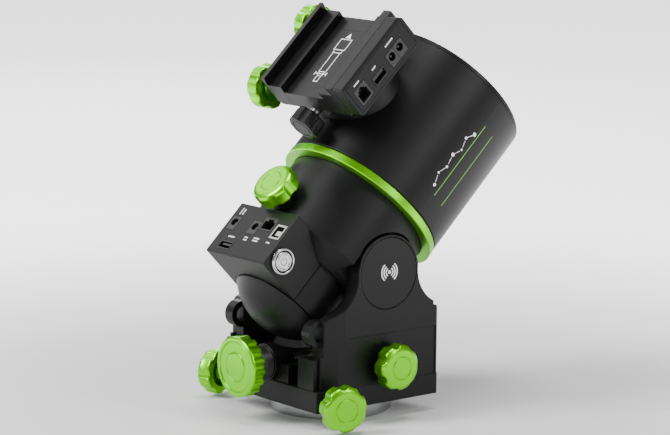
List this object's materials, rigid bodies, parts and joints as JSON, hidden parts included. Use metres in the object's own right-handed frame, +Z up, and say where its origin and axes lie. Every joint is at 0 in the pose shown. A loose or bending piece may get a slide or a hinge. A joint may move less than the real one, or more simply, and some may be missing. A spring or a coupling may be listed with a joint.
{
  "type": "equatorial mount",
  "caption": "Compact strain-wave equatorial telescope mount: fork base with azimuth and altitude knobs, polar housing with control box, turning drum and dual dovetail saddle.",
  "frame": {"origin": "centre of the base puck's underside, on the azimuth axis", "axes": "+Z up along the azimuth axis, +Y towards the celestial pole, X along the altitude axis"},
  "size_m": [0.172, 0.2442, 0.2984],
  "materials": {
    "silver_aluminium": "turned, satin",
    "steel": "machined steel",
    "black_paint": "fine satin black",
    "black_anodised": "black anodised",
    "brass": "machined bronze",
    "green_anodised": "lime green anodised",
    "circuit_board": "green solder mask",
    "connector_black": "moulded black",
    "connector_steel": "plated shell",
    "button_steel": "turned stainless",
    "seal_rubber": "black rubber"
  },
  "bodies": {
    "tripod_side": {"base_puck": "silver_aluminium", "azimuth_peg": "steel", "pivot_bolt": "steel"},
    "turntable": {"base_plate": "black_paint", "fork_arm_right": "black_paint", "fork_arm_left": "black_paint", "cap_right": "black_paint", "cap_left": "black_paint", "altitude_bushings": "brass", "worm_block": "black_paint", "arm_bolts": "steel"},
    "azimuth_pad_right": {"azimuth_pad_right": "brass"},
    "azimuth_pad_left": {"azimuth_pad_left": "brass"},
    "azimuth_knob_right": {"azimuth_knob_right": "green_anodised"},
    "azimuth_knob_left": {"azimuth_knob_left": "green_anodised"},
    "altitude_screw": {"altitude_knob": "green_anodised", "worm_shaft": "steel"},
    "lock_knob_right": {"lock_knob_right": "green_anodised"},
    "lock_knob_left": {"lock_knob_left": "green_anodised"},
    "polar_housing": {"lower_housing": "black_paint", "dome_cap": "black_paint", "control_box": "black_paint", "circuit_board": "circuit_board", "power_sockets": "connector_black", "usb_a_socket": "connector_steel", "rj45_socket": "connector_black", "usb_b_socket": "connector_steel", "button_bezel": "button_steel", "trunnions": "steel", "altitude_sector": "brass", "brake_quadrants": "steel", "ra_motor": "connector_black", "ra_drive_frame": "steel", "button_spring": "steel"},
    "power_button": {"power_button": "button_steel"},
    "top_knob": {"top_knob": "green_anodised"},
    "ra_wave_generator": {"ra_wave_generator": "steel"},
    "ra_drum": {"upper_housing": "black_paint", "green_ring": "green_anodised", "ring_screws": "steel", "end_cover": "black_anodised", "ra_seal": "seal_rubber", "ra_flexspline": "steel", "dec_collar": "black_paint", "dec_motor": "connector_black", "dec_drive_frame": "steel"},
    "dec_wave_generator": {"dec_wave_generator": "steel"},
    "saddle": {"dec_flange": "black_paint", "dec_flexspline": "steel", "saddle_body": "black_anodised", "port_box": "black_paint", "handset_socket": "connector_black", "saddle_usb_socket": "connector_steel", "saddle_dc_sockets": "connector_black", "guide_rods": "steel"},
    "moving_jaw": {"moving_jaw": "black_anodised"},
    "clamp_knob_low": {"clamp_knob_low": "green_anodised"},
    "clamp_knob_high": {"clamp_knob_high": "green_anodised"},
    "thumbscrew": {"thumbscrew": "black_anodised"}
  },
  "joints": [
    {"name": "azimuth", "type": "hinge", "parent": "tripod_side", "child": "turntable", "pos_m": [0, 0, 0], "axis": [0, 0, 1], "range_deg": [-8, 8]},
    {"name": "azimuth_screw_right", "type": "slide", "parent": "turntable", "child": "azimuth_pad_right", "axis": [0.9744, -0.225, 0], "range_m": [-0.0045, 0.0045]},
    {"name": "azimuth_screw_left", "type": "slide", "parent": "turntable", "child": "azimuth_pad_left", "axis": [-0.9744, -0.225, 0], "range_m": [-0.0045, 0.0045]},
    {"name": "azimuth_knob_right_turn", "type": "hinge", "parent": "azimuth_pad_right", "child": "azimuth_knob_right", "pos_m": [0, -0.0314, 0.019], "axis": [0.9744, -0.225, 0], "range_deg": [-1246, 1246]},
    {"name": "azimuth_knob_left_turn", "type": "hinge", "parent": "azimuth_pad_left", "child": "azimuth_knob_left", "pos_m": [0, -0.0314, 0.019], "axis": [-0.9744, -0.225, 0], "range_deg": [-1246, 1246]},
    {"name": "altitude", "type": "hinge", "parent": "turntable", "child": "polar_housing", "pos_m": [0, 0.0072, 0.1089], "axis": [1, 0, 0], "range_deg": [-24, 15.5]},
    {"name": "altitude_knob_turn", "type": "hinge", "parent": "turntable", "child": "altitude_screw", "pos_m": [0, 0, 0.0411], "axis": [0, 1, 0], "range_deg": [-1450, 940]},
    {"name": "lock_knob_right_turn", "type": "hinge", "parent": "turntable", "child": "lock_knob_right", "pos_m": [0.0623, 0.0072, 0.041], "axis": [1, 0, 0], "range_deg": [0, 360]},
    {"name": "lock_knob_left_turn", "type": "hinge", "parent": "turntable", "child": "lock_knob_left", "pos_m": [-0.0623, 0.0072, 0.041], "axis": [-1, 0, 0], "range_deg": [0, 360]},
    {"name": "top_knob_turn", "type": "hinge", "parent": "polar_housing", "child": "top_knob", "pos_m": [0, -0.04809, 0.16616], "axis": [0, -0.6947, 0.7193], "range_deg": [0, 360]},
    {"name": "power_button_press", "type": "slide", "parent": "polar_housing", "child": "power_button", "axis": [-1, 0, 0], "range_m": [0, 0.0012], "stiffness_N_per_m": 1500, "springref_m": -0.0008, "deforming": ["button_spring"]},
    {"name": "right_ascension", "type": "hinge", "parent": "polar_housing", "child": "ra_drum", "pos_m": [0, 0.02444, 0.14863], "axis": [0, 0.7193, 0.6947], "continuous": true},
    {"name": "ra_wave_turn", "type": "hinge", "parent": "polar_housing", "child": "ra_wave_generator", "pos_m": [0, 0.01006, 0.13473], "axis": [0, 0.7193, 0.6947], "continuous": true},
    {"name": "declination", "type": "hinge", "parent": "ra_drum", "child": "saddle", "pos_m": [0, 0.01939, 0.24384], "axis": [0, -0.6947, 0.7193], "continuous": true},
    {"name": "dec_wave_turn", "type": "hinge", "parent": "ra_drum", "child": "dec_wave_generator", "pos_m": [0, 0.03119, 0.23161], "axis": [0, -0.6947, 0.7193], "continuous": true},
    {"name": "jaw_slide", "type": "slide", "parent": "saddle", "child": "moving_jaw", "axis": [-1, 0, 0], "range_m": [0, 0.008]},
    {"name": "clamp_knob_low_turn", "type": "hinge", "parent": "moving_jaw", "child": "clamp_knob_low", "pos_m": [-0.058, -0.01435, 0.23558], "axis": [-1, 0, 0], "range_deg": [0, 2310]},
    {"name": "clamp_knob_high_turn", "type": "hinge", "parent": "moving_jaw", "child": "clamp_knob_high", "pos_m": [-0.058, 0.02953, 0.27796], "axis": [-1, 0, 0], "range_deg": [0, 2310]},
    {"name": "thumbscrew_turn", "type": "hinge", "parent": "saddle", "child": "thumbscrew", "pos_m": [0, -0.02389, 0.21595], "axis": [0, -0.7193, -0.6947], "range_deg": [0, 360]}
  ],
  "couplings": [
    {"joint": "azimuth_screw_right", "follows": "azimuth", "m_per_rad": -0.030595},
    {"joint": "azimuth_screw_left", "follows": "azimuth", "m_per_rad": 0.030595},
    {"joint": "azimuth_knob_right_turn", "follows": "azimuth", "ratio": -153.79},
    {"joint": "azimuth_knob_left_turn", "follows": "azimuth", "ratio": 153.79},
    {"joint": "altitude_knob_turn", "follows": "altitude", "ratio": 60},
    {"joint": "ra_wave_turn", "follows": "right_ascension", "ratio": -100},
    {"joint": "dec_wave_turn", "follows": "declination", "ratio": -100},
    {"joint": "clamp_knob_low_turn", "follows": "jaw_slide", "rad_per_m": 5026.5},
    {"joint": "clamp_knob_high_turn", "follows": "jaw_slide", "rad_per_m": 5026.5}
  ]
}
